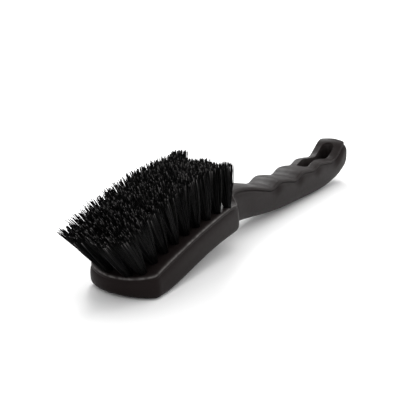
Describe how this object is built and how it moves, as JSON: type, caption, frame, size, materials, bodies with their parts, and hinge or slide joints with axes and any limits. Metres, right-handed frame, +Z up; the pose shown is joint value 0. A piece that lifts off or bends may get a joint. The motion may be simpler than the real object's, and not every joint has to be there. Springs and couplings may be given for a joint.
{
  "type": "wheel brush",
  "caption": "Hand brush for vehicle wheels: slab head with rows of stiff black tufts, and a cranked handle with finger grooves and a hanging slot.",
  "frame": {"origin": "centre of the bounding box's bottom, on the surface the brush lies on", "axes": "+X towards the head's front end, +Z up through the tips, +Y to the side that is left when looking towards the front"},
  "size_m": [0.3004, 0.0366, 0.0511],
  "materials": {
    "block": "black moulded polypropylene, fine satin texture",
    "filament": "black crimped synthetic filament, cut ends",
    "anchor": "galvanised flat wire"
  },
  "bodies": {
    "root": {"block": "block", "tuft_r1_1": "filament", "tuft_r1_2": "filament", "tuft_r1_3": "filament", "tuft_r1_4": "filament", "tuft_r1_5": "filament", "tuft_r1_6": "filament", "tuft_r1_7": "filament", "tuft_r1_8": "filament", "tuft_r1_9": "filament", "tuft_r2_1": "filament", "tuft_r2_2": "filament", "tuft_r2_3": "filament", "tuft_r2_4": "filament", "tuft_r2_5": "filament", "tuft_r2_6": "filament", "tuft_r2_7": "filament", "tuft_r2_8": "filament", "tuft_r2_9": "filament", "tuft_r3_1": "filament", "tuft_r3_2": "filament", "tuft_r3_3": "filament", "tuft_r3_4": "filament", "tuft_r3_5": "filament", "tuft_r3_6": "filament", "tuft_r3_7": "filament", "tuft_r3_8": "filament", "tuft_r3_9": "filament", "tuft_r4_1": "filament", "tuft_r4_2": "filament", "tuft_r4_3": "filament", "tuft_r4_4": "filament", "tuft_r4_5": "filament", "tuft_r4_6": "filament", "tuft_r4_7": "filament", "tuft_r4_8": "filament", "tuft_r4_9": "filament", "tuft_r5_1": "filament", "tuft_r5_2": "filament", "tuft_r5_3": "filament", "tuft_r5_4": "filament", "tuft_r5_5": "filament", "tuft_r5_6": "filament", "tuft_r5_7": "filament", "tuft_r5_8": "filament", "tuft_r5_9": "filament", "anchors_row_1": "anchor", "anchors_row_2": "anchor", "anchors_row_3": "anchor", "anchors_row_4": "anchor", "anchors_row_5": "anchor"}
  },
  "joints": []
}
